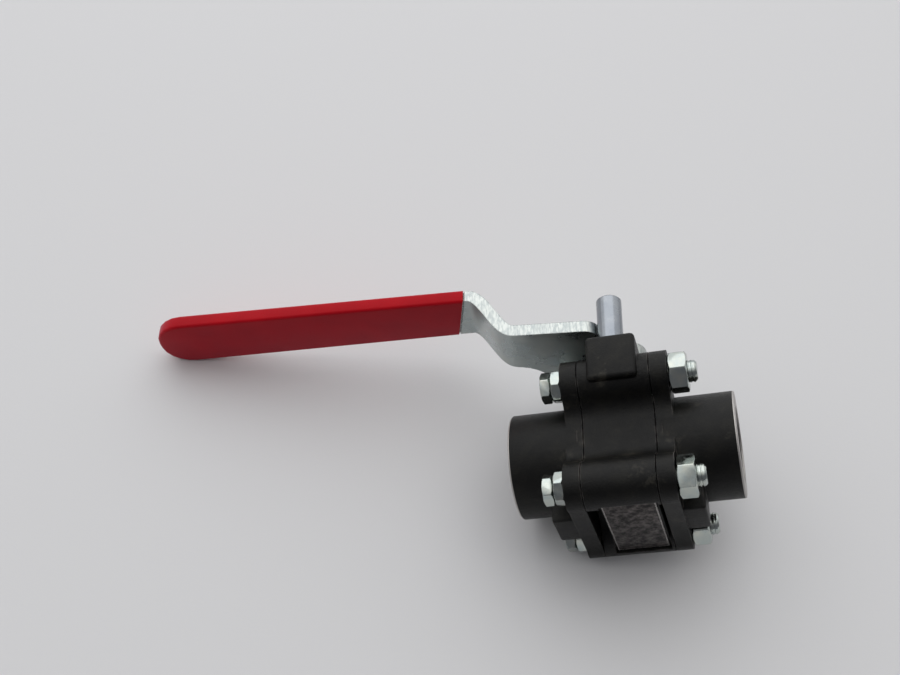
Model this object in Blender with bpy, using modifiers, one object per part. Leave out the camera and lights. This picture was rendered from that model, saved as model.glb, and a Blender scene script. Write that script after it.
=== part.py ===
"""A DN20 three-piece ball valve with a cranked hand lever, modelled in metres.

X runs along the pipe, Z up along the stem, and the origin is on the underside of the
body, straight below the ball. The valve is open and the lever lies back along -X.
"""

import math

import bmesh
import bpy

MM = 0.001

# Heights below are measured from the pipe axis and lifted by this to the world.
PIPE_AXIS = 27.7

BALL_RADIUS = 14.6
PORT_RADIUS = 9.2
CAVITY_RADIUS = 15.2
BODY_HALF_WIDTH = 12.6

BOLT_PITCH_HALF = 20.15
LOBE_RADIUS = 8.5
SIDE_FLAT = 18.6
SIDE_FILLET = 8.0
BOLT_RADIUS = 3.8
BOLT_HOLE_RADIUS = 4.1

FLANGE_INNER = 12.9
FLANGE_OUTER = 18.9
UNDERSIDE_OF_CAP = 28.0
HUB_RADIUS = 19.0
HUB_END = 40.0
SOCKET_RADIUS = 13.6
SOCKET_FLOOR = 27.0

SEAL_RECESS_RADIUS = 16.9
SEAL_RECESS_FLOOR = 11.0

STEM_RADIUS = 5.0
HOUSING_RADIUS = 11.5
HOUSING_TOP = 30.3
PACKING_RADIUS = 8.2

STOP_PIN_RADIUS = 4.6
STOP_PIN_X = -0.4
STOP_PIN_Y = -23.8
STOP_BLOCK = ((-9.0, 8.7), (-30.3, -15.0), (16.0, 33.4))

LEVER_YAW = 7.1
PLATE_TOP = 43.0
PLATE_THICK = 4.6
ARM_NEAR = -24.85
ARM_WIDTH = 22.0
ARM_END = -177.3
HEAD_CENTRE = -2.5
HEAD_RADIUS = 25.5
CORE_RADIUS = 9.5
NEAR_SHOULDER = -110.2
FAR_SHOULDER = 4.0
CRANK_START = -38.5
CRANK_END = -55.5
GRIP_START = -57.0
GRIP_SLANT = 0.2
GRIP_HEIGHT = 57.3
GRIP_DROP = 3.3
GRIP_OVER = 0.45
GRIP_WALL = 0.6

for old in list(bpy.data.objects):
    bpy.data.objects.remove(old, do_unlink=True)

valve = bpy.data.collections.new("ball_valve")
cutters = bpy.data.collections.new("cutters")
bpy.context.scene.collection.children.link(valve)
bpy.context.scene.collection.children.link(cutters)


def painted(name, colour, roughness, metallic):
    """A plain Principled material."""
    material = bpy.data.materials.new(name)
    material.use_nodes = True
    shader = material.node_tree.nodes["Principled BSDF"]
    shader.inputs["Base Color"].default_value = (*colour, 1.0)
    shader.inputs["Roughness"].default_value = roughness
    shader.inputs["Metallic"].default_value = metallic
    return material


LOOKS = {
    "black_forging": ((0.012, 0.011, 0.010), 0.55, 0.6),
    "zinc": ((0.62, 0.64, 0.66), 0.28, 1.0),
    "stainless": ((0.56, 0.55, 0.53), 0.2, 1.0),
    "ptfe": ((0.78, 0.77, 0.72), 0.5, 0.0),
    "graphite": ((0.03, 0.03, 0.032), 0.6, 0.2),
    "red_vinyl": ((0.55, 0.012, 0.02), 0.35, 0.0),
    "plate_metal": ((0.16, 0.15, 0.145), 0.5, 0.8),
}


def add(name, mesh, look=None):
    """Puts a mesh in the valve, or among the cutters when it has no look."""
    thing = bpy.data.objects.new(name, mesh)
    if look is None:
        cutters.objects.link(thing)
        thing.hide_render = True
        thing.display_type = "WIRE"
    else:
        valve.objects.link(thing)
        mesh.materials.append(painted(name + "_" + look, *LOOKS[look]))
    return thing


def took(name):
    """Moves what an operator just made into a mesh of its own and removes its object."""
    made = bpy.context.object
    mesh = made.data
    mesh.name = name
    bpy.data.objects.remove(made, do_unlink=True)
    return mesh


def block(name, x, y, z, look=None, soft=0.0):
    """A box between two values on each axis, with its edges rounded where soft is set."""
    bpy.ops.mesh.primitive_cube_add(size=1.0)
    mesh = took(name)
    size = [(b - a) * MM for a, b in (x, y, z)]
    for vertex in mesh.vertices:
        vertex.co = [c * s for c, s in zip(vertex.co, size)]
    thing = add(name, mesh, look)
    thing.location = [(a + b) / 2 * MM for a, b in (x, y, z)]
    thing.location.z += PIPE_AXIS * MM
    if soft:
        bevel = thing.modifiers.new("rounded edges", "BEVEL")
        bevel.width = soft * MM
        bevel.segments = 3
    return thing


def round_bar(name, radius, start, end, where, along="X", look=None, sides=32, turn=0.0):
    """A cylinder or, with few sides, a hexagon, from start to end along X or Z."""
    bpy.ops.mesh.primitive_cylinder_add(
        vertices=sides, radius=radius * MM, depth=abs(end - start) * MM
    )
    mesh = took(name)
    thing = add(name, mesh, look)
    middle = (start + end) / 2 * MM
    a, b = where[0] * MM, where[1] * MM
    if along == "X":
        thing.rotation_mode = "ZYX"
        thing.rotation_euler = (0, math.radians(90), math.radians(turn + 90))
        thing.location = (middle, a, b + PIPE_AXIS * MM)
    else:
        thing.rotation_euler = (0, 0, math.radians(turn))
        thing.location = (a, b, middle + PIPE_AXIS * MM)
    return thing


def turned(name, profile, steps, look, along="Z", side=1.0):
    """Spins a (radius, height) profile, closed unless both its ends are on the axis."""
    mesh = bpy.data.meshes.new(name)
    points = [(r * MM, 0.0, h * MM) for r, h in profile]
    count = len(points)
    edges = [(i, i + 1) for i in range(count - 1)]
    if profile[0][0] or profile[-1][0]:
        edges.append((count - 1, 0))
    mesh.from_pydata(points, edges, [])
    thing = add(name, mesh, look)
    screw = thing.modifiers.new("spin", "SCREW")
    screw.steps = steps
    screw.render_steps = steps
    screw.use_merge_vertices = True
    screw.merge_threshold = 0.00001
    if along == "X":
        thing.rotation_euler = (0, math.radians(90) * side, 0)
    thing.location = (0, 0, PIPE_AXIS * MM)
    return thing


def ring(name, inner, outer, low, high, look, along="Z", steps=24, side=1.0):
    """A plain ring of rectangular section."""
    profile = [(outer, high), (outer, low), (inner, low), (inner, high)]
    return turned(name, profile, steps, look, along, side)


def flat_shape(name, outline, thick, look=None):
    """A 2D outline in millimetres filled and given its thickness, as a mesh."""
    curve = bpy.data.curves.new(name, "CURVE")
    curve.dimensions = "2D"
    curve.fill_mode = "BOTH"
    curve.extrude = thick / 2 * MM
    spline = curve.splines.new("POLY")
    spline.points.add(len(outline) - 1)
    for point, (x, y) in zip(spline.points, outline):
        point.co = (x * MM, y * MM, 0, 1)
    spline.use_cyclic_u = True
    guide = bpy.data.objects.new(name + "_curve", curve)
    bpy.context.scene.collection.objects.link(guide)
    bpy.context.view_layer.update()
    graph = bpy.context.evaluated_depsgraph_get()
    mesh = bpy.data.meshes.new_from_object(guide.evaluated_get(graph))
    bpy.data.objects.remove(guide, do_unlink=True)
    mesh.name = name
    shape = bmesh.new()
    shape.from_mesh(mesh)
    bmesh.ops.remove_doubles(shape, verts=shape.verts, dist=0.000001)
    bmesh.ops.recalc_face_normals(shape, faces=shape.faces)
    shape.to_mesh(mesh)
    shape.free()
    mesh.materials.clear()
    return add(name, mesh, look)


def combine(thing, other, operation):
    """A live Boolean. Anything cut or joined or intersected leaves the render itself."""
    change = thing.modifiers.new(operation.lower() + " " + other.name, "BOOLEAN")
    change.operation = operation
    change.object = other
    change.solver = "EXACT"


def cut(thing, *others):
    for other in others:
        combine(thing, other, "DIFFERENCE")


def join(thing, *others):
    for other in others:
        combine(thing, other, "UNION")


def arc(centre, radius, start, end, steps):
    """Points on an arc, both ends included, angles in degrees."""
    points = []
    for i in range(steps + 1):
        angle = math.radians(start + (end - start) * i / steps)
        x = centre[0] + radius * math.cos(angle)
        y = centre[1] + radius * math.sin(angle)
        points.append((x, y))
    return points


def lobed_outline():
    """The square flange outline: four round bolt lobes with recessed flats between."""
    reach = SIDE_FLAT + SIDE_FILLET - BOLT_PITCH_HALF
    drop = math.sqrt((LOBE_RADIUS + SIDE_FILLET) ** 2 - reach**2)
    centre = (SIDE_FLAT + SIDE_FILLET, BOLT_PITCH_HALF - drop)
    lean = math.degrees(math.atan2(drop, reach))
    lobe = (BOLT_PITCH_HALF, BOLT_PITCH_HALF)
    corner = arc(centre, SIDE_FILLET, 180.0, 180.0 - lean, 5)
    corner += arc(lobe, LOBE_RADIUS, -lean, 90.0 + lean, 16)[1:-1]
    mirrored = arc((centre[1], centre[0]), SIDE_FILLET, lean - 90.0, -90.0, 5)
    corner += mirrored
    outline = []
    for quarter in range(4):
        spin = math.radians(90 * quarter)
        for x, y in corner:
            across = x * math.cos(spin) - y * math.sin(spin)
            up = x * math.sin(spin) + y * math.cos(spin)
            outline.append((across, up))
    return outline


def slab(name, x, look=None):
    """The lobed outline as a slab square to the pipe."""
    thing = flat_shape(name, lobed_outline(), x[1] - x[0], look)
    thing.rotation_euler = (math.radians(90), 0, math.radians(90))
    thing.location = ((x[0] + x[1]) / 2 * MM, 0, PIPE_AXIS * MM)
    return thing


def bolt_places():
    """The four bolts as (y, z), starting at the top front and going down and round."""
    p = BOLT_PITCH_HALF
    return ((-p, p), (-p, -p), (p, -p), (p, p))


bolt_holes = [
    round_bar(f"bolt_hole_{i + 1}", BOLT_HOLE_RADIUS, -30, 30, place, sides=16)
    for i, place in enumerate(bolt_places())
]

# Centre body: lobed slab, stem housing, stop block and the raised pad for the nameplate.
body = slab("centre_body", (-BODY_HALF_WIDTH, BODY_HALF_WIDTH), "black_forging")
housing = round_bar("housing", HOUSING_RADIUS, 12.0, HOUSING_TOP, (0, 0), "Z", sides=32)
stop_block = block("stop_block", *STOP_BLOCK, soft=1.5)
label_pad = block("label_pad", (-8.6, 11.6), (-19.8, 19.8), (-26.7, -14.0), soft=0.8)
join(body, housing, stop_block, label_pad)
cavity = round_bar("cavity", CAVITY_RADIUS, -20, 20, (0, 0), sides=40)
seal_recess_left = round_bar(
    "seal_recess_left", SEAL_RECESS_RADIUS, -20, -SEAL_RECESS_FLOOR, (0, 0), sides=48
)
seal_recess_right = round_bar(
    "seal_recess_right", SEAL_RECESS_RADIUS, SEAL_RECESS_FLOOR, 20, (0, 0), sides=48
)
collar_bore = round_bar("collar_bore", 6.8, 5.0, 17.7, (0, 0), "Z")
stem_bore = round_bar("stem_bore", 5.35, 5.0, 40.0, (0, 0), "Z")
packing_bore = round_bar("packing_bore", PACKING_RADIUS, 22.0, 40.0, (0, 0), "Z")
pin_hole = round_bar(
    "pin_hole", STOP_PIN_RADIUS + 0.3, 25.3, 40, (STOP_PIN_X, STOP_PIN_Y), "Z"
)
# The bolt lobes are milled flush with the pad where the nameplate crosses them.
plate_milling = block("plate_milling", (-8.6, 11.6), (-19.8, 19.8), (-40.0, -26.7))
cut(body, cavity, seal_recess_left, seal_recess_right, plate_milling)
cut(body, collar_bore, stem_bore, packing_bore, pin_hole, *bolt_holes)

# End caps: lobed flange, filled in on the underside, hub with a socket, land under it.
for name, side in (("left", -1.0), ("right", 1.0)):
    span = sorted((side * FLANGE_INNER, side * FLANGE_OUTER))
    cap = slab("end_cap_" + name, span, "black_forging")
    fill = block(
        "cap_fill_" + name,
        (span[0] + 0.01, span[1] - 0.01),
        (-BOLT_PITCH_HALF, BOLT_PITCH_HALF),
        (-UNDERSIDE_OF_CAP, -10.0),
    )
    hub_span = sorted((side * (FLANGE_INNER + 2), side * HUB_END))
    hub = round_bar("hub_" + name, HUB_RADIUS, *hub_span, (0, 0), sides=56)
    rim = hub.modifiers.new("rounded rim", "BEVEL")
    rim.width = 0.5 * MM
    rim.segments = 2
    rim.limit_method = "ANGLE"
    land_span = sorted((side * (FLANGE_INNER + 2), side * 26.6))
    land = block("land_" + name, land_span, (-8.4, 8.4), (-26.75, -12.0), soft=0.8)
    join(cap, fill, hub, land)
    port = round_bar("port_" + name, PORT_RADIUS, 0, side * 50, (0, 0), sides=40)
    socket = round_bar(
        "socket_" + name, SOCKET_RADIUS, side * SOCKET_FLOOR, side * 50, (0, 0), sides=40
    )
    cut(cap, port, socket, *bolt_holes)

# Ball, open: its bore lies along the pipe and its drive slot across it.
bpy.ops.mesh.primitive_uv_sphere_add(
    segments=32, ring_count=16, radius=BALL_RADIUS * MM
)
ball = add("ball", took("ball"), "stainless")
ball.location = (0, 0, PIPE_AXIS * MM)
ball_bore = round_bar("ball_bore", PORT_RADIUS, -20, 20, (0, 0), sides=40)
drive_slot = block("drive_slot", (-3.1, 3.1), (-20, 20), (10.7, 20))
cut(ball, ball_bore, drive_slot)

# Seats with a cone facing the ball, and the square seals between body and caps.
SEAT = [(14.9, 12.4), (14.9, 8.5), (12.6, 8.5), (9.4, 11.6), (9.4, 12.4)]
for name, side in (("left", -1.0), ("right", 1.0)):
    turned("seat_ring_" + name, SEAT, 28, "ptfe", "X", side)
    ring("body_seal_" + name, 15.5, 16.6, 11.3, 12.4, "ptfe", "X", 28, side)

# Stem: tang, collar, shaft, groove for the retaining ring.
STEM = [
    (0.0, 46.4),
    (4.5, 46.4),
    (STEM_RADIUS, 45.9),
    (STEM_RADIUS, 44.6),
    (4.2, 44.6),
    (4.2, 43.3),
    (STEM_RADIUS, 43.3),
    (STEM_RADIUS, 16.6),
    (6.4, 16.6),
    (6.4, 15.2),
    (5.3, 15.2),
    (5.3, 10.9),
    (0.0, 10.9),
]
stem = turned("stem", STEM, 28, "stainless")
for name, side in (("left", -1.0), ("right", 1.0)):
    tang_side = block(
        "tang_side_" + name, sorted((side * 2.95, side * 10)), (-10, 10), (5, 15.0)
    )
    stem_flat = block(
        "stem_flat_" + name, sorted((side * 3.6, side * 10)), (-10, 10), (38.0, 50)
    )
    cut(stem, tang_side, stem_flat)

ring("stem_thrust_washer", 5.35, 6.4, 16.9, 17.4, "ptfe")
for i in range(3):
    low = 22.3 + 1.9 * i
    ring(f"packing_ring_{i + 1}", 5.3, 7.9, low, low + 1.6, "ptfe")
ring("gland_follower", 5.3, 7.9, 28.0, 30.7, "stainless")
for i in range(2):
    low = 31.0 + 1.2 * i
    cone = [(8.8, low + 0.6), (8.8, low), (5.4, low + 0.3), (5.4, low + 0.9)]
    turned(f"spring_washer_{i + 1}", cone, 24, "stainless")
gland_nut = round_bar(
    "gland_nut", 9.2, 33.6, 37.6, (0, 0), "Z", "zinc", sides=6, turn=12.0
)
gland_bore = round_bar("gland_bore", 5.3, 30, 38, (0, 0), "Z")
cut(gland_nut, gland_bore)

# The stop pin stands in the stop block, in the notch of the lever's head.
stop_pin = round_bar(
    "stop_pin", STOP_PIN_RADIUS, 25.6, 51.8, (STOP_PIN_X, STOP_PIN_Y), "Z", "zinc"
)
chamfer = stop_pin.modifiers.new("chamfer", "BEVEL")
chamfer.width = 0.6 * MM
chamfer.segments = 1
chamfer.limit_method = "ANGLE"

# Everything on the lever is drawn along the lever, then turned with this empty.
lever_axis = bpy.data.objects.new("lever_axis", None)
valve.objects.link(lever_axis)
lever_axis.location = (0, 0, PIPE_AXIS * MM)
lever_axis.rotation_euler = (0, 0, math.radians(LEVER_YAW))


def corner(before, point, after, radius, steps=5):
    """The arc that rounds one corner of a straight-sided outline."""
    ax, ay = before[0] - point[0], before[1] - point[1]
    bx, by = after[0] - point[0], after[1] - point[1]
    la, lb = math.hypot(ax, ay), math.hypot(bx, by)
    ax, ay, bx, by = ax / la, ay / la, bx / lb, by / lb
    half = math.acos(max(-1.0, min(1.0, ax * bx + ay * by))) / 2
    reach = radius / math.tan(half)
    mx, my = ax + bx, ay + by
    lm = math.hypot(mx, my)
    away = radius / math.sin(half)
    centre = (point[0] + mx / lm * away, point[1] + my / lm * away)
    start = (point[0] + ax * reach, point[1] + ay * reach)
    end = (point[0] + bx * reach, point[1] + by * reach)
    a0 = math.degrees(math.atan2(start[1] - centre[1], start[0] - centre[0]))
    a1 = math.degrees(math.atan2(end[1] - centre[1], end[0] - centre[0]))
    while a1 - a0 > 180:
        a1 -= 360
    while a1 - a0 < -180:
        a1 += 360
    return arc(centre, radius, a0, a1, steps)


def polar(angle, radius):
    turn = math.radians(angle)
    return (radius * math.cos(turn), radius * math.sin(turn))


def arm_outline(start, end, inset, tip_radius):
    """The arm from above: a slanted start, and a far edge that drifts out by 2 mm."""
    near = ARM_NEAR + inset
    far_start = ARM_NEAR + ARM_WIDTH - inset
    far_end = far_start + 2.0
    tip = end + inset
    slanted = start - GRIP_SLANT * (far_start - near)
    outline = [(start, near), (slanted, far_start)]
    outline += corner((slanted, far_start), (tip, far_end), (tip, near), tip_radius)
    outline += corner((tip, far_end), (tip, near), (start, near), tip_radius)
    return outline


def lever_outline():
    """The head with its notch for the stop pin, and the arm as far as the grip."""
    near_end = polar(NEAR_SHOULDER, abs(ARM_NEAR / math.sin(math.radians(NEAR_SHOULDER))))
    near_in = polar(NEAR_SHOULDER, CORE_RADIUS)
    far_in = polar(FAR_SHOULDER, CORE_RADIUS)
    far_out = polar(FAR_SHOULDER, HEAD_CENTRE + HEAD_RADIUS)
    far_edge = ARM_NEAR + ARM_WIDTH
    outline = [(GRIP_START - 10, ARM_NEAR)]
    outline += corner((-60, ARM_NEAR), near_end, near_in, 6.0)
    outline += arc((0, 0), CORE_RADIUS, NEAR_SHOULDER, FAR_SHOULDER, 12)
    outline += corner(far_in, far_out, (far_out[0], 20), 3.0)
    outline += arc((HEAD_CENTRE, 0), HEAD_RADIUS, 18.0, 166.0, 24)
    outline += corner((-26.6, 8.5), (-29.0, far_edge), (-60, far_edge), 14.0, 6)
    outline += [(GRIP_START - 10, far_edge)]
    return outline


def crank_line():
    """Middle of the plate from the side, as (along, height)."""
    low = PLATE_TOP - PLATE_THICK / 2
    line = [(30.0, low), (CRANK_START, low)]
    steps = 14
    for i in range(1, steps):
        share = i / steps
        ease = (1 - math.cos(math.pi * share)) / 2
        x = CRANK_START + (CRANK_END - CRANK_START) * share
        line.append((x, low + (GRIP_HEIGHT - low) * ease))
    line.append((CRANK_END, GRIP_HEIGHT))
    line.append((-190.0, GRIP_HEIGHT - GRIP_DROP * (190 + CRANK_END) / (175 + CRANK_END)))
    return line


def thickened(line, thick):
    """Both sides of a line, offset square to it by half the thickness."""
    upper, lower = [], []
    for i, (x, z) in enumerate(line):
        x0, z0 = line[max(i - 1, 0)]
        x1, z1 = line[min(i + 1, len(line) - 1)]
        length = math.hypot(x1 - x0, z1 - z0)
        nx, nz = -(z1 - z0) / length, (x1 - x0) / length
        upper.append((x + nx * thick / 2, z + nz * thick / 2))
        lower.append((x - nx * thick / 2, z - nz * thick / 2))
    return upper + lower[::-1]


def upright(thing):
    """Stands a flat shape up so that its outline reads as (along, height)."""
    thing.rotation_euler = (math.radians(90), 0, 0)
    return thing


def on_lever(thing):
    thing.parent = lever_axis
    return thing


def strip(name, thick, look=None):
    """The cranked plate seen from the side, wide enough to take any outline."""
    thing = flat_shape(name, thickened(crank_line(), thick), 90, look)
    return on_lever(upright(thing))


def raised(thing, height):
    thing.location.z = height * MM
    return on_lever(thing)


def seen_from_above(name, outline):
    return raised(flat_shape(name, outline, 40), 50)


# The plate steps down to a thinner, narrower tang inside the grip.
lever = strip("lever", PLATE_THICK, "zinc")
combine(lever, seen_from_above("lever_plan", lever_outline()), "INTERSECT")
TANG_INSET = GRIP_WALL + 0.3 - GRIP_OVER
tang = strip("tang", PLATE_THICK - 2 * TANG_INSET)
tang_plan = seen_from_above(
    "tang_plan", arm_outline(GRIP_START + 4, ARM_END, TANG_INSET, 9.6)
)
combine(tang, tang_plan, "INTERSECT")
tang_start = [(GRIP_START + 0.4 - GRIP_SLANT * (y - ARM_NEAR), y) for y in (-60, 60)]
tang_end = seen_from_above("tang_end", [(-110, -60), *tang_start, (-110, 60)])
cut(lever, tang_end)
join(lever, tang)

lever_hole = round_bar("lever_hole", STEM_RADIUS + 0.2, 30, 50, (0, 0), "Z")
hole_middle = block("hole_middle", (-3.8, 3.8), (-8, 8), (30, 50))
combine(lever_hole, hole_middle, "INTERSECT")
cut(lever, lever_hole)

# The dipped vinyl grip is a pocket over the tang.
grip = strip("lever_grip", PLATE_THICK + 2 * GRIP_OVER, "red_vinyl")
grip_plan = seen_from_above(
    "grip_plan", arm_outline(GRIP_START, ARM_END, -GRIP_OVER, 11.0)
)
combine(grip, grip_plan, "INTERSECT")
pocket = strip("pocket", PLATE_THICK - 2 * TANG_INSET + 0.6)
pocket_plan = seen_from_above(
    "pocket_plan", arm_outline(GRIP_START + 8, ARM_END, TANG_INSET - 0.3, 9.9)
)
combine(pocket, pocket_plan, "INTERSECT")
cut(grip, pocket)

# Open retaining ring that sits in the stem's groove and keeps the lever down.
ring_profile = [(6.4, 44.4), (6.4, 43.5), (4.4, 43.5), (4.4, 44.4)]
retainer = turned("lever_retaining_ring", ring_profile, 32, "stainless")
ring_gap = block("ring_gap", (2.0, 12.0), (-2.2, 2.2), (42, 46))
cut(retainer, ring_gap)

# Nameplate on its pad, without any marking.
block("nameplate", (-7.7, 10.7), (-18.9, 18.9), (-27.7, -27.0), "plate_metal", soft=0.25)


def hexagon(name, across_flats, start, end, place, turn, bore=None):
    """A chamfered hexagon along X, bored where a bolt passes through."""
    corner_radius = across_flats / 2 / math.cos(math.radians(30))
    nut = round_bar(name, corner_radius, start, end, place, "X", "zinc", 6, turn)
    tip = across_flats / 2 * 0.98
    depth = (corner_radius - tip) * 0.55
    shape = [
        (0.0, end),
        (tip, end),
        (corner_radius + 0.02, end - depth),
        (corner_radius + 0.02, start + depth),
        (tip, start),
        (0.0, start),
    ]
    cone = turned(name + "_cone", shape, 18, None)
    cone.rotation_euler = (0, math.radians(90), 0)
    cone.location = (0, place[0] * MM, (place[1] + PIPE_AXIS) * MM)
    combine(nut, cone, "INTERSECT")
    if bore:
        hole = round_bar(name + "_bore", bore, start - 5, end + 5, place, sides=16)
        cut(nut, hole)
    return nut


HEAD_TURNS = (27.6, 12.0, 40.0, 5.0)
NUT_TURNS = (44.6, 25.6, 8.0, 33.0)
for i, place in enumerate(bolt_places()):
    number = i + 1
    bolt = hexagon(f"body_bolt_{number}", 9.9, -26.7, -23.1, place, HEAD_TURNS[i])
    shank = round_bar(f"shank_{number}", BOLT_RADIUS, -24.0, 28.8, place, sides=20)
    point = shank.modifiers.new("point", "BEVEL")
    point.width = 0.7 * MM
    point.segments = 1
    point.limit_method = "ANGLE"
    join(bolt, shank)
    turn = HEAD_TURNS[i] + 22.0
    hexagon(f"collar_nut_{number}", 10.5, -22.8, -19.2, place, turn, BOLT_RADIUS + 0.3)
    turn = NUT_TURNS[i]
    hexagon(f"bolt_nut_{number}", 13.0, 19.2, 25.6, place, turn, BOLT_RADIUS + 0.3)

# Round faces read as round.
bpy.context.view_layer.update()
for thing in valve.objects:
    if thing.type == "MESH":
        thing.data.shade_smooth()
        thing.data.set_sharp_from_angle(angle=math.radians(32))
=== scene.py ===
import math

import bmesh
import bpy
from mathutils import Matrix, Vector


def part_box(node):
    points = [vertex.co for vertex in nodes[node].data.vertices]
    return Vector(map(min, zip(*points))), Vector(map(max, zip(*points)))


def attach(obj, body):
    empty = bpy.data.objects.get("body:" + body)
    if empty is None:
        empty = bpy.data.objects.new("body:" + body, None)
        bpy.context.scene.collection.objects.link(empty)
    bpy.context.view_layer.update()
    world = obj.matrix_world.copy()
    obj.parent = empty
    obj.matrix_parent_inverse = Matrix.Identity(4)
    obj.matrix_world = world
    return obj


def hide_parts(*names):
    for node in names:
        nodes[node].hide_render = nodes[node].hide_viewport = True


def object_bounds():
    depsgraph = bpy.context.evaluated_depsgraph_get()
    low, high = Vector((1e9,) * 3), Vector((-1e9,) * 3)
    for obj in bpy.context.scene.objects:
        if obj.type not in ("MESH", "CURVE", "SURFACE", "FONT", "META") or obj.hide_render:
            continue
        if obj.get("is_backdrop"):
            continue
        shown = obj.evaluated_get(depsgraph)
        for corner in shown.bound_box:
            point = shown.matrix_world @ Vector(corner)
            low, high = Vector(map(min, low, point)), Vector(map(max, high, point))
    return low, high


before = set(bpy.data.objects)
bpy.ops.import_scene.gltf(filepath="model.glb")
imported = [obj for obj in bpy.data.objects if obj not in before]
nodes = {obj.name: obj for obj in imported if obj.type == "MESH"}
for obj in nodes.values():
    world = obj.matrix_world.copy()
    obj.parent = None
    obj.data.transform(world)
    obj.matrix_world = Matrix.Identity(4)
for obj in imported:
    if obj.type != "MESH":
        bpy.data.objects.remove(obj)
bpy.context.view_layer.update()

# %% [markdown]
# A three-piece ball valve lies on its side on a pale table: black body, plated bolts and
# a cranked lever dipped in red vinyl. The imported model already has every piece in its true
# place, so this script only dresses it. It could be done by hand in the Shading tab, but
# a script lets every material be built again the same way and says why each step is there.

MM = 0.001
print("pieces:", len(nodes))

# %% [markdown]
# Everything is placed from the pieces themselves. The ball's box gives the pipe's axis, and
# the boxes of the left end cap and the grip say where the valve rests on the table, so the
# dressing still fits if a size changes.

# %% Landmarks
ball_low, ball_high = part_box("ball")
ball_centre = (ball_low + ball_high) / 2
cap_low, cap_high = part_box("end_cap_left")
grip_low, grip_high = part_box("lever_grip")
print("pipe axis height in mm:", round(ball_centre.z * 1000, 2))

# %% [markdown]
# The camera looks up at the underside from the side the stop pin is on, because the valve
# is lying down. A camera is placed best from three axes: right, up and backwards make a
# rotation matrix, so no tilt has to be guessed. The lens is a normal one for a 36 mm
# sensor, which keeps the lever's perspective modest.

# %% Camera
EYE = Vector((0.0545, -0.4212, -0.1886))
RIGHT = Vector((0.963, 0.267, 0.018)).normalized()
BACK = Vector((0.235, -0.812, -0.534)).normalized()
LENS = 52.33

up = BACK.cross(RIGHT).normalized()
right = up.cross(BACK).normalized()
lens_data = bpy.data.cameras.new("camera")
lens_data.lens = LENS
lens_data.sensor_width = 36.0
lens_data.clip_start = 0.01
camera = bpy.data.objects.new("camera", lens_data)
bpy.context.scene.collection.objects.link(camera)
turn = Matrix((right, up, BACK)).transposed().to_4x4()
camera.matrix_world = Matrix.Translation(EYE) @ turn
bpy.context.scene.camera = camera
print("camera distance in m:", round((EYE - ball_centre).length, 3))

# %% [markdown]
# Three helpers keep the materials short. Colours are written as the hex codes a colour picker
# shows, and one function turns them into the linear values that shaders add up. Another
# turns a real width in millimetres into a texture's scale. The third adds a node, sets its
# values and joins its inputs in a single call. Sockets that share a name go by number: a
# Map Range node turns the range from 1 to 2 into the range from 3 to 4, and a Mix node
# blends colours 6 and 7, or plain values 2 and 3.

# %% Helpers for colour and nodes
def linear(code):
    """A hex colour such as 'b0b4b8' as linear red, green and blue, with alpha 1."""
    parts = [int(code[i : i + 2], 16) / 255 for i in (0, 2, 4)]
    curved = [p / 12.92 if p <= 0.04045 else ((p + 0.055) / 1.055) ** 2.4 for p in parts]
    return (*curved, 1.0)


def per_mm(size):
    """The texture scale at which a pattern repeats about every so many millimetres."""
    return 1.0 / (size * MM)


def add(tree, kind, links=None, **settings):
    """One node: settings are its own properties, links its inputs by name or number."""
    # A shader node's kind leaves off the word ShaderNode, and other kinds are written whole.
    made = tree.nodes.new(kind if hasattr(bpy.types, kind) else "ShaderNode" + kind)
    for key, value in settings.items():
        setattr(made, key, value)
    for key, value in (links or {}).items():
        if isinstance(value, bpy.types.NodeSocket):
            tree.links.new(value, made.inputs[key])
        else:
            made.inputs[key].default_value = value
    return made


print("mid grey becomes", round(linear("808080")[0], 3))
print("a 2 mm pattern needs scale", per_mm(2.0))

# %% [markdown]
# The table is a plain plane that the valve leans on: it touches the tip of the lever and
# the corner of the left flange. Two such points and the stem's direction fix the plane.
# It is far larger than the valve, so no edge of it comes near the valve in any view.

# %% Table
TIP_ROUNDING = 10.5 * MM
TIP_SLANT = 11.6 * MM
HUB_LENGTH = 21.1 * MM
REST_GAP = 0.8 * MM
TABLE_SIZE = 20.0

grip_tip = Vector((grip_low.x + TIP_ROUNDING, grip_high.y - TIP_SLANT, 0.0))
flange_corner = Vector((cap_low.x + HUB_LENGTH, cap_high.y, 0.0))
table_along = (flange_corner - grip_tip).normalized()
stem_way = Vector((0.0, 0.0, 1.0))
table_up = table_along.cross(stem_way)
bpy.ops.mesh.primitive_plane_add(size=TABLE_SIZE)
table = bpy.context.object
table.name = "table"
frame_of_table = Matrix((table_along, stem_way, table_up)).transposed().to_4x4()
table.matrix_world = Matrix.Translation(grip_tip - table_up * REST_GAP) @ frame_of_table
table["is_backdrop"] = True
lean = math.degrees(math.atan2(table_along.y, table_along.x))
print("table leans by degrees:", round(lean, 1))

# %% [markdown]
# Matt white card: a clean, even paper surface. It only has to throw pale light back up at
# the valve, so a rough, non-metal shader with a faint fibre bump is all that it needs. Real
# fibres are too fine to show, so they are drawn about a millimetre wide.
# From below the card is clear, because the valve is also looked at from that side.

# %% Card under the valve
CARD = "d6d6d7"
FIBRE_WIDTH = 1.11

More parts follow.
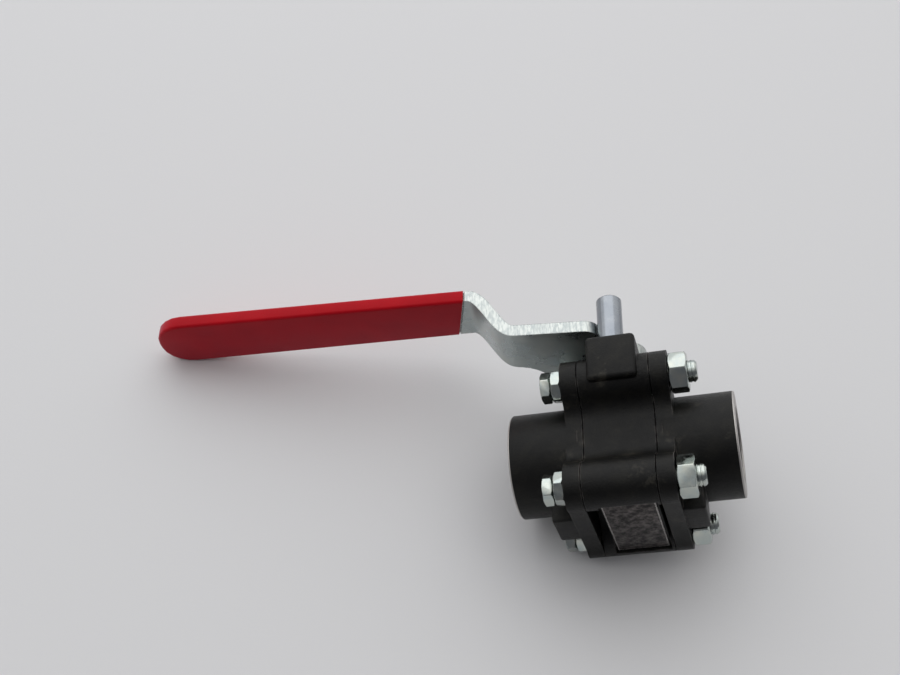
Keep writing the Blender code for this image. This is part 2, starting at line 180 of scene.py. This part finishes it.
card = bpy.data.materials.new("matt_white_card")
card.use_nodes = True
tree = card.node_tree
shader = tree.nodes["Principled BSDF"]
shader.inputs["Base Color"].default_value = linear(CARD)
shader.inputs["Roughness"].default_value = 0.85
place = add(tree, "TexCoord").outputs["Object"]
fibre = add(tree, "TexNoise", {"Vector": place, "Scale": per_mm(FIBRE_WIDTH), "Detail": 2.0})
bump = add(tree, "Bump", {"Height": fibre.outputs["Fac"], "Distance": 0.02 * MM})
tree.links.new(bump.outputs["Normal"], shader.inputs["Normal"])
under = add(tree, "NewGeometry").outputs["Backfacing"]
clear = add(tree, "BsdfTransparent").outputs["BSDF"]
one_way = add(tree, "MixShader", {0: under, 1: shader.outputs["BSDF"], 2: clear})
tree.links.new(one_way.outputs[0], tree.nodes["Material Output"].inputs["Surface"])
table.data.materials.append(card)
print("card colour:", [round(c, 2) for c in linear(CARD)[:3]])

# %% [markdown]
# The light is a big soft window above and behind the valve, seen from the camera, so the
# faces turned to the lens stay dark and their upper edges shine. The world gives the pale
# backdrop, and for everything but the eye it fades from bright on the window's side to
# dim on the other. That difference is what makes plated steel look like metal.

# %% World
WINDOW = Vector((-0.15, -0.42, 0.90)).normalized()
DIM_FROM = -0.35
BRIGHT_FROM = 0.6
DIM = "66666a"
BRIGHT = "ffffff"
BACKDROP = "c6c7c8"
ROOM_STRENGTH = 1.08

world = bpy.data.worlds.new("pale_room")
bpy.context.scene.world = world
world.use_nodes = True
tree = world.node_tree
back = tree.nodes["Background"]
direction = add(tree, "TexCoord").outputs["Generated"]
facing = add(tree, "VectorMath", {0: direction, 1: WINDOW}, operation="DOT_PRODUCT")
glow = add(
    tree,
    "MapRange",
    {"Value": facing.outputs["Value"], 1: DIM_FROM, 2: BRIGHT_FROM, 3: 0.0, 4: 1.0},
    interpolation_type="SMOOTHSTEP",
)
room = add(
    tree,
    "Mix",
    {0: glow.outputs["Result"], 6: linear(DIM), 7: linear(BRIGHT)},
    data_type="RGBA",
)
seen = add(tree, "LightPath").outputs["Is Camera Ray"]
shown = add(
    tree,
    "Mix",
    {0: seen, 6: room.outputs[2], 7: linear(BACKDROP)},
    data_type="RGBA",
)
tree.links.new(shown.outputs[2], back.inputs["Color"])
back.inputs["Strength"].default_value = ROOM_STRENGTH
bpy.context.scene.view_settings.view_transform = "Standard"
print("window direction:", [round(c, 2) for c in WINDOW])

# %% [markdown]
# Two square area lamps stand in for the room's light that reaches the valve directly. The
# wide one is the window, and casts the soft shadow on the table. The small warm one lifts
# the right-hand sides of the nuts. An area lamp shines along its own -Z, so its turn comes
# from the direction it stands in. Sizes and distances are in metres, power in watts.

# %% Lamps
def softbox(name, direction, distance, size, power, colour):
    """A square area light aimed at the valve from a direction."""
    data = bpy.data.lights.new(name, "AREA")
    data.size = size
    data.energy = power
    data.color = linear(colour)[:3]
    lamp = bpy.data.objects.new(name, data)
    bpy.context.scene.collection.objects.link(lamp)
    lamp.location = ball_centre + direction.normalized() * distance
    lamp.rotation_euler = direction.to_track_quat("Z", "Y").to_euler()


window_way = Vector((0.05, -0.78, 0.62))
fill_way = Vector((0.7, -0.7, 0.1))
softbox("window", window_way, distance=0.9, size=1.2, power=3.0, colour="fbfcff")
softbox("fill", fill_way, distance=1.1, size=0.5, power=0.5, colour="fff8f0")

# %% [markdown]
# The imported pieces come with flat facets. Round parts have to look round, so a small
# geometry nodes group joins the corners that meet, turns smooth shading on, and turns it
# off again across edges sharper than 32 degrees. As a modifier it leaves the pieces' own
# corners where they are, which editing the meshes by hand would not.

# %% Smooth shading up to an angle
SHARP = math.radians(32)
JOIN_WITHIN = 0.002 * MM

group = bpy.data.node_groups.new("smooth_by_angle", "GeometryNodeTree")
group.interface.new_socket("Geometry", in_out="INPUT", socket_type="NodeSocketGeometry")
group.interface.new_socket("Geometry", in_out="OUTPUT", socket_type="NodeSocketGeometry")
start = add(group, "NodeGroupInput")
joined = add(
    group, "GeometryNodeMergeByDistance", {0: start.outputs[0], "Distance": JOIN_WITHIN}
)
plain = add(
    group, "GeometryNodeRemoveAttribute", {0: joined.outputs[0], "Name": "custom_normal"}
)
smooth = add(group, "GeometryNodeSetShadeSmooth", {0: plain.outputs[0]})
edge_angle = add(group, "GeometryNodeInputMeshEdgeAngle").outputs["Unsigned Angle"]
sharp = add(group, "Math", {0: edge_angle, 1: SHARP}, operation="GREATER_THAN")
creased = add(
    group,
    "GeometryNodeSetShadeSmooth",
    {0: smooth.outputs[0], "Selection": sharp.outputs[0], "Shade Smooth": False},
    domain="EDGE",
)
add(group, "NodeGroupOutput", {0: creased.outputs[0]})


def smooth_by_angle(piece):
    """Puts the group on a piece as a modifier."""
    rounding = piece.modifiers.new("smooth_by_angle", "NODES")
    rounding.node_group = group


for piece in nodes.values():
    smooth_by_angle(piece)
print("smoothed pieces:", len(nodes))

# %% [markdown]
# Every finish starts the same way, from a Principled shader with its plain values on its
# own sockets, a position in metres on the piece, and a Bevel node. That node softens hard
# edges by a real radius, which gives the thin highlights that machined edges have.

# %% Start of every finish
FINISHES = {}


def finish(name, edge, **values):
    """A new material: its tree, its shader, the position on the piece and soft normals."""
    material = bpy.data.materials.new(name)
    material.use_nodes = True
    FINISHES[name] = material
    tree = material.node_tree
    shader = tree.nodes["Principled BSDF"]
    for key, value in values.items():
        shader.inputs[key.replace("_", " ")].default_value = value
    place = add(tree, "TexCoord").outputs["Object"]
    soft = add(tree, "Bevel", {"Radius": edge * MM}, samples=4).outputs["Normal"]
    return tree, shader, place, soft


def wire(tree, shader, colour, gloss, normal):
    """Joins the three results that every finish ends with to its shader."""
    tree.links.new(colour, shader.inputs["Base Color"])
    tree.links.new(gloss, shader.inputs["Roughness"])
    tree.links.new(normal, shader.inputs["Normal"])


def dress(names, title):
    """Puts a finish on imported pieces, in place of the plain material they came with."""
    for name in names:
        nodes[name].data.materials.clear()
        nodes[name].data.materials.append(FINISHES[title])
    print(title, "on", len(names))


def edge_mask(tree, soft, slight, full):
    """Picks out edges, where the softened normal leans away from the true one."""
    true_normal = add(tree, "NewGeometry").outputs["Normal"]
    same = add(tree, "VectorMath", {0: soft, 1: true_normal}, operation="DOT_PRODUCT")
    agreement = same.outputs["Value"]
    mask = add(tree, "MapRange", {"Value": agreement, 1: slight, 2: full, 3: 0.0, 4: 1.0})
    return mask.outputs["Result"]


print("finishes so far:", len(FINISHES))

# %% [markdown]
# The body and end caps are forged carbon steel with a black phosphate skin and a little oil.
# Phosphate is crystalline, so it is matt and slightly mottled, with a fine grain. Its
# crystals are hundredths of a millimetre, so the grain is drawn 0.7 mm wide to show.
# Handling rubs the edges to a lighter grey. Comparing the softened normal with the true one
# finds the edges without painting them by hand.

# %% Black phosphated steel
tree, shader, place, soft = finish("phosphated_forging", 0.6, Specular_IOR_Level=0.22)
edges = edge_mask(tree, soft, slight=0.985, full=0.86)
mottle = add(
    tree, "TexNoise", {"Vector": place, "Scale": per_mm(6.0), "Detail": 5.0, "Roughness": 0.6}
)
grain = add(
    tree, "TexNoise", {"Vector": place, "Scale": per_mm(0.7), "Detail": 4.0, "Roughness": 0.75}
)
rubbed = add(
    tree,
    "MapRange",
    {"Value": mottle.outputs["Fac"], 1: 0.45, 2: 0.72, 3: 0.0, 4: 1.0},
)
edge_wear = add(
    tree,
    "Math",
    {0: edges, 1: rubbed.outputs["Result"]},
    operation="MULTIPLY",
)
skin = add(
    tree,
    "Mix",
    {0: rubbed.outputs["Result"], 6: linear("080807"), 7: linear("161511")},
    data_type="RGBA",
)
worn = add(
    tree,
    "Mix",
    {0: edge_wear.outputs[0], 6: skin.outputs[2], 7: linear("77726e")},
    data_type="RGBA",
)
# Dry handling leaves a few pale, dusty scuffs, drawn about a centimetre apart.
scuffs = add(
    tree, "TexNoise", {"Vector": place, "Scale": per_mm(11.0), "Detail": 9.0, "Roughness": 0.78}
)
scuff_mask = add(
    tree, "MapRange", {"Value": scuffs.outputs["Fac"], 1: 0.57, 2: 0.74, 3: 0.0, 4: 0.38}
)
dusty = add(
    tree,
    "Mix",
    {0: scuff_mask.outputs["Result"], 6: worn.outputs[2], 7: linear("5d594f")},
    data_type="RGBA",
)
# Only the ends of the hubs are turned bright, for the weld to the pipe.
BARE_DEPTH = 0.6 * MM
bare_from = abs(cap_low.x) - BARE_DEPTH
axes = add(tree, "SeparateXYZ", {0: place})
along_pipe = add(tree, "Math", {0: axes.outputs["X"]}, operation="ABSOLUTE")
turned_end = add(
    tree, "Math", {0: along_pipe.outputs[0], 1: bare_from}, operation="GREATER_THAN"
)
bared = add(
    tree,
    "Mix",
    {0: turned_end.outputs[0], 6: dusty.outputs[2], 7: linear("b2afac")},
    data_type="RGBA",
)
gloss = add(
    tree, "MapRange", {"Value": grain.outputs["Fac"], 1: 0.3, 2: 0.7, 3: 0.33, 4: 0.52}
)
relief = add(
    tree,
    "Bump",
    {"Height": grain.outputs["Fac"], "Normal": soft, "Distance": 0.2 * MM, "Strength": 0.8},
)
metal = add(tree, "MapRange", {"Value": turned_end.outputs[0], 3: 0.1, 4: 0.9})
tree.links.new(metal.outputs["Result"], shader.inputs["Metallic"])
wire(tree, shader, bared.outputs[2], gloss.outputs["Result"], relief.outputs["Normal"])
dress(("centre_body", "end_cap_left", "end_cap_right"), "phosphated_forging")

# %% [markdown]
# The bolts and nuts are cold formed steel with bright zinc plating. Zinc is a cool, light
# metal with a faint blue to straw tint where the passivation varies, and barrel plating
# leaves soft patches and small knocks. The patches are drawn a few millimetres wide.

# %% Zinc on the bolts and nuts
tree, shader, place, soft = finish("zinc_plated_fastener", 0.35, Metallic=1.0)
patches = add(
    tree, "TexNoise", {"Vector": place, "Scale": per_mm(3.5), "Detail": 3.0, "Roughness": 0.55}
)
knocks = add(tree, "TexNoise", {"Vector": place, "Scale": per_mm(1.6), "Detail": 2.0})
tint = add(
    tree,
    "Mix",
    {0: patches.outputs["Fac"], 6: linear("9dadb2"), 7: linear("cdccbe")},
    data_type="RGBA",
)
gloss = add(
    tree, "MapRange", {"Value": knocks.outputs["Fac"], 1: 0.3, 2: 0.7, 3: 0.08, 4: 0.24}
)
relief = add(
    tree,
    "Bump",
    {"Height": knocks.outputs["Fac"], "Normal": soft, "Distance": 0.08 * MM, "Strength": 0.3},
)
wire(tree, shader, tint.outputs[2], gloss.outputs["Result"], relief.outputs["Normal"])
plated = [n for n in nodes if n.startswith(("body_bolt", "collar_nut", "bolt_nut"))]
dress(plated + ["gland_nut"], "zinc_plated_fastener")

# %% [markdown]
# The lever is blanked and bent from rolled steel plate, then zinc plated like the bolts.
# Rolling leaves long, fine lines, so the noise is stretched along the lever, and the bend
# keeps a softer, hazier shine than a machined face. The lines are drawn half a millimetre
# wide, coarser than they are, so that they show. The blanked edges are rougher: there the
# steel was sheared, which tears fine upright marks. They face sideways, so the upright part
# of the normal tells them from the flat of the plate.

# %% Zinc on the lever
tree, shader, place, soft = finish("zinc_plated_lever", 0.6, Metallic=1.0)
LEVER_YAW = math.radians(7.1)
along_lever = {"Vector": place, "Rotation": (0, 0, -LEVER_YAW), "Scale": (0.12, 1, 1)}
stretch = add(tree, "Mapping", along_lever)
lines = add(
    tree,
    "TexNoise",
    {"Vector": stretch.outputs[0], "Scale": per_mm(0.5), "Detail": 3.0, "Roughness": 0.6},
)
cloud = add(tree, "TexNoise", {"Vector": place, "Scale": per_mm(9.0), "Detail": 4.0})
normal = add(tree, "NewGeometry").outputs["Normal"]
upright = add(tree, "SeparateXYZ", {0: normal})
level = add(tree, "Math", {0: upright.outputs["Z"]}, operation="ABSOLUTE")
sheared = add(tree, "MapRange", {"Value": level.outputs[0], 1: 0.35, 2: 0.15, 3: 0.0, 4: 1.0})
tears = add(tree, "Mapping", {"Vector": place, "Scale": (1, 1, 0.3)})
torn = add(
    tree, "TexNoise", {"Vector": tears.outputs[0], "Scale": per_mm(0.7), "Detail": 5.0}
)
tint = add(
    tree,
    "Mix",
    {0: cloud.outputs["Fac"], 6: linear("92a0a4"), 7: linear("c2c5bf")},
    data_type="RGBA",
)
edge_tone = add(
    tree, "MapRange", {"Value": torn.outputs["Fac"], 1: 0.4, 2: 0.6, 3: 0.0, 4: 1.0}
)
edge_tint = add(
    tree,
    "Mix",
    {0: edge_tone.outputs["Result"], 6: linear("a2a8a7"), 7: linear("bfc3bf")},
    data_type="RGBA",
)
colour = add(
    tree,
    "Mix",
    {0: sheared.outputs["Result"], 6: tint.outputs[2], 7: edge_tint.outputs[2]},
    data_type="RGBA",
)
gloss = add(
    tree, "MapRange", {"Value": cloud.outputs["Fac"], 1: 0.3, 2: 0.7, 3: 0.2, 4: 0.38}
)
height = add(
    tree,
    "Mix",
    {0: sheared.outputs["Result"], 2: lines.outputs["Fac"], 3: torn.outputs["Fac"]},
)
relief = add(
    tree,
    "Bump",
    {"Height": height.outputs[0], "Normal": soft, "Distance": 0.05 * MM, "Strength": 0.5},
)
wire(tree, shader, colour.outputs[2], gloss.outputs["Result"], relief.outputs["Normal"])
dress(("lever",), "zinc_plated_lever")

# %% [markdown]
# The stop pin is a turned bar, so its tool marks run round it. A wave texture banded along
# the pin's own height gives those rings, and its bands are 2 pi / 20 over its scale apart.
# Real rings are a tenth of a millimetre apart and would not show, so they are drawn about a
# millimetre apart. The stem's pieces and the ball are turned too, the ball along the pipe.

# %% Turned steel of the stop pin and the inner metal pieces
RING_SPACING = 0.99
RING_SCALE = per_mm(RING_SPACING) * 2 * math.pi / 20
STEM_PIECES = (
    "stem",
    "gland_follower",
    "spring_washer_1",
    "spring_washer_2",
    "lever_retaining_ring",
)
TURNED_METALS = (
    ("turned_bright_pin", "7a8089", "a2a6aa", "Z", ("stop_pin",)),
    ("turned_stainless", "a8a49e", "cbc7c0", "Z", STEM_PIECES),
    ("polished_stainless_ball", "b4b2ad", "d2d0cb", "X", ("ball",)),
)
for title, darker, lighter, axis, names in TURNED_METALS:
    tree, shader, place, soft = finish(title, 0.3, Metallic=1.0)
    rings = add(
        tree,
        "TexWave",
        {"Vector": place, "Scale": RING_SCALE, "Distortion": 0.6, "Detail": 2.0},
        bands_direction=axis,
    )
    film = add(tree, "TexNoise", {"Vector": place, "Scale": per_mm(5.0), "Detail": 3.0})
    tint = add(
        tree,
        "Mix",
        {0: film.outputs["Fac"], 6: linear(darker), 7: linear(lighter)},
        data_type="RGBA",
    )
    gloss = add(
        tree, "MapRange", {"Value": film.outputs["Fac"], 1: 0.3, 2: 0.7, 3: 0.14, 4: 0.3}
    )
    relief = add(
        tree,
        "Bump",
        {"Height": rings.outputs["Fac"], "Normal": soft, "Distance": 0.01 * MM, "Strength": 0.5},
    )
    wire(tree, shader, tint.outputs[2], gloss.outputs["Result"], relief.outputs["Normal"])
    dress(names, title)

# %% [markdown]
# The grip is made by dipping the hot lever in liquid vinyl. It comes out glossy and very
# slightly wavy, with soft edges. Handling then dulls it and leaves fine dust on it, so its
# reflection is kept low and a faint sheen stands for the film of dust. A gentle ripple
# breaks up the bright line along its upper edge. The dust's specks are drawn 0.6 mm wide,
# coarser than they are, so that they show.

# %% Dipped red vinyl
tree, shader, place, soft = finish(
    "dipped_vinyl", 0.4, Metallic=0.0, IOR=1.5, Specular_IOR_Level=0.08, Sheen_Weight=0.2
)
shader.inputs["Sheen Tint"].default_value = linear("c9b4d6")
waves = add(tree, "TexNoise", {"Vector": place, "Scale": per_mm(11.0), "Detail": 1.0})
dust = add(tree, "TexNoise", {"Vector": place, "Scale": per_mm(0.6), "Detail": 4.0})
tint = add(
    tree,
    "Mix",
    {0: waves.outputs["Fac"], 6: linear("98000d"), 7: linear("b40212")},
    data_type="RGBA",
)
gloss = add(tree, "MapRange", {"Value": dust.outputs["Fac"], 1: 0.3, 2: 0.75, 3: 0.26, 4: 0.46})
ripple = add(
    tree,
    "Bump",
    {"Height": waves.outputs["Fac"], "Normal": soft, "Distance": 0.4 * MM, "Strength": 0.35},
)
specks = add(
    tree,
    "Bump",
    {"Height": dust.outputs["Fac"], "Normal": ripple.outputs["Normal"], "Distance": 0.03 * MM},
)
wire(tree, shader, tint.outputs[2], gloss.outputs["Result"], specks.outputs["Normal"])
print("dipped_vinyl made of nodes:", len(tree.nodes))

# %% [markdown]
# Dipping rounds every outer edge of the grip, which the mechanical model leaves square. The
# grip is a straight bar, so a convex hull of its corners gives its outside as one clean
# solid. Its long edges and its tip are then bevelled, but not the rim of the open end,
# where the vinyl was trimmed square on the plate.

# %% Rounded grip
ROUNDING = 1.2
CORNER_GAP = 0.01 * MM
FLAT_WITHIN = math.radians(2)
EDGE_FROM = math.radians(50)

outside = bmesh.new()
for corner in nodes["lever_grip"].data.vertices:
    outside.verts.new(corner.co)
bmesh.ops.remove_doubles(outside, verts=outside.verts, dist=CORNER_GAP)
bmesh.ops.convex_hull(outside, input=outside.verts)
loose = [v for v in outside.verts if not v.link_faces]
bmesh.ops.delete(outside, geom=loose, context="VERTS")
bmesh.ops.dissolve_limit(
    outside, angle_limit=FLAT_WITHIN, verts=outside.verts, edges=outside.edges
)
bmesh.ops.recalc_face_normals(outside, faces=outside.faces)
open_end = max(outside.faces, key=lambda face: face.normal.x)
rim_edges = set(open_end.edges)
hard_edges = [e for e in outside.edges if e.calc_face_angle(0.0) > EDGE_FROM]
long_edges = [e for e in hard_edges if e not in rim_edges]
bmesh.ops.bevel(
    outside, geom=long_edges, offset=ROUNDING * MM, segments=5, profile=0.5, affect="EDGES"
)
grip_mesh = bpy.data.meshes.new("vinyl_grip")
outside.to_mesh(grip_mesh)
outside.free()
grip_mesh.materials.append(FINISHES["dipped_vinyl"])
grip = bpy.data.objects.new("vinyl_grip", grip_mesh)
bpy.context.scene.collection.objects.link(grip)
smooth_by_angle(grip)
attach(grip, "lever_and_stem")
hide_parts("lever_grip")
print("edges rounded:", len(long_edges), "faces:", len(grip_mesh.polygons))

# %% [markdown]
# The nameplate is a thin rolled steel plate with its marking left blank. It is dull and
# blotchy in the middle, and its near-white rim is the brightest thing on the underside.

# %% Worn nameplate
tree, shader, place, soft = finish("worn_nameplate", 0.7, Metallic=0.85)
rim = edge_mask(tree, soft, slight=0.998, full=0.95)
blotch = add(
    tree, "TexNoise", {"Vector": place, "Scale": per_mm(3.4), "Detail": 6.0, "Roughness": 0.75}
)
patch = add(
    tree, "MapRange", {"Value": blotch.outputs["Fac"], 1: 0.42, 2: 0.62, 3: 0.0, 4: 1.0}
)
tint = add(
    tree,
    "Mix",
    {0: patch.outputs["Result"], 6: linear("242222"), 7: linear("625c5a")},
    data_type="RGBA",
)
bright = add(
    tree,
    "Mix",
    {0: rim, 6: tint.outputs[2], 7: linear("f0ece8")},
    data_type="RGBA",
)
gloss = add(tree, "MapRange", {"Value": patch.outputs["Result"], 3: 0.55, 4: 0.32})
relief = add(
    tree,
    "Bump",
    {"Height": blotch.outputs["Fac"], "Normal": soft, "Distance": 0.12 * MM, "Strength": 0.5},
)
wire(tree, shader, bright.outputs[2], gloss.outputs["Result"], relief.outputs["Normal"])
dress(("nameplate",), "worn_nameplate")

# %% [markdown]
# Seats, seals, packing and the stem's thrust washer are turned from white fluoropolymer. It
# is waxy rather than glossy, lets a little light in, and has faint grey assembly marks.

# %% White fluoropolymer
tree, shader, place, soft = finish("turned_fluoropolymer", 0.2, IOR=1.38, Subsurface_Weight=0.15)
shader.inputs["Subsurface Radius"].default_value = (MM, MM, MM)
marks = add(tree, "TexNoise", {"Vector": place, "Scale": per_mm(1.5), "Detail": 4.0})
tint = add(
    tree,
    "Mix",
    {0: marks.outputs["Fac"], 6: linear("e2e0d8"), 7: linear("f4f3ee")},
    data_type="RGBA",
)
gloss = add(tree, "MapRange", {"Value": marks.outputs["Fac"], 3: 0.36, 4: 0.56})
relief = add(
    tree,
    "Bump",
    {"Height": marks.outputs["Fac"], "Normal": soft, "Distance": 0.03 * MM},
)
wire(tree, shader, tint.outputs[2], gloss.outputs["Result"], relief.outputs["Normal"])
soft_rings = [n for n in nodes if n.startswith(("seat_ring", "body_seal", "packing_ring"))]
soft_rings.append("stem_thrust_washer")
dress(soft_rings, "turned_fluoropolymer")

# %% [markdown]
# The ends of the body bolts stick out of their nuts and show their screw threads. A helix
# drawn as a curve with a round bevel gives each ridge, and it fades out at both ends. The
# pitch is the 1.25 mm of an 8 mm bolt. A bump could not change the outline of the stub.

# %% Threads on the bolt ends
PITCH = 1.25
CREST = 4.05
RIDGE = 0.36
STEPS = 20
FADE_STEPS = 6
IN_NUT = 0.3
BELOW_TIP = 0.8


def thread(name, middle_y, middle_z, start, end):
    """A screw ridge along the pipe between two distances, in millimetres."""
    curve = bpy.data.curves.new(name, "CURVE")
    curve.dimensions = "3D"
    curve.bevel_depth = RIDGE * MM
    curve.bevel_resolution = 1
    curve.use_fill_caps = True
    count = int((end - start) / PITCH * STEPS)
    path = curve.splines.new("POLY")
    path.points.add(count)
    for i, point in enumerate(path.points):
        angle = 2 * math.pi * i / STEPS
        fade = min(1.0, (i + 1) / FADE_STEPS, (count + 1 - i) / FADE_STEPS)
        radius = (CREST - RIDGE) * MM
        x = start * MM + PITCH * MM * i / STEPS
        y = middle_y + radius * math.cos(angle)
        z = middle_z + radius * math.sin(angle)
        point.co = (x, y, z, 1.0)
        point.radius = fade
    ridge = bpy.data.objects.new(name, curve)
    bpy.context.scene.collection.objects.link(ridge)
    curve.materials.append(FINISHES["zinc_plated_fastener"])
    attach(ridge, "valve_body")


for number in range(1, 5):
    low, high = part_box(f"body_bolt_{number}")
    nut_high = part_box(f"bolt_nut_{number}")[1]
    middle = (low + high) / 2
    start = nut_high.x / MM - IN_NUT
    end = high.x / MM - BELOW_TIP
    thread(f"bolt_thread_{number}", middle.y, middle.z, start, end)

# %% [markdown]
# Last, the box that the dressed model fills is measured. The dressing must stay inside the
# box that the mechanical model fills.

# %% Sizes
low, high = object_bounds()
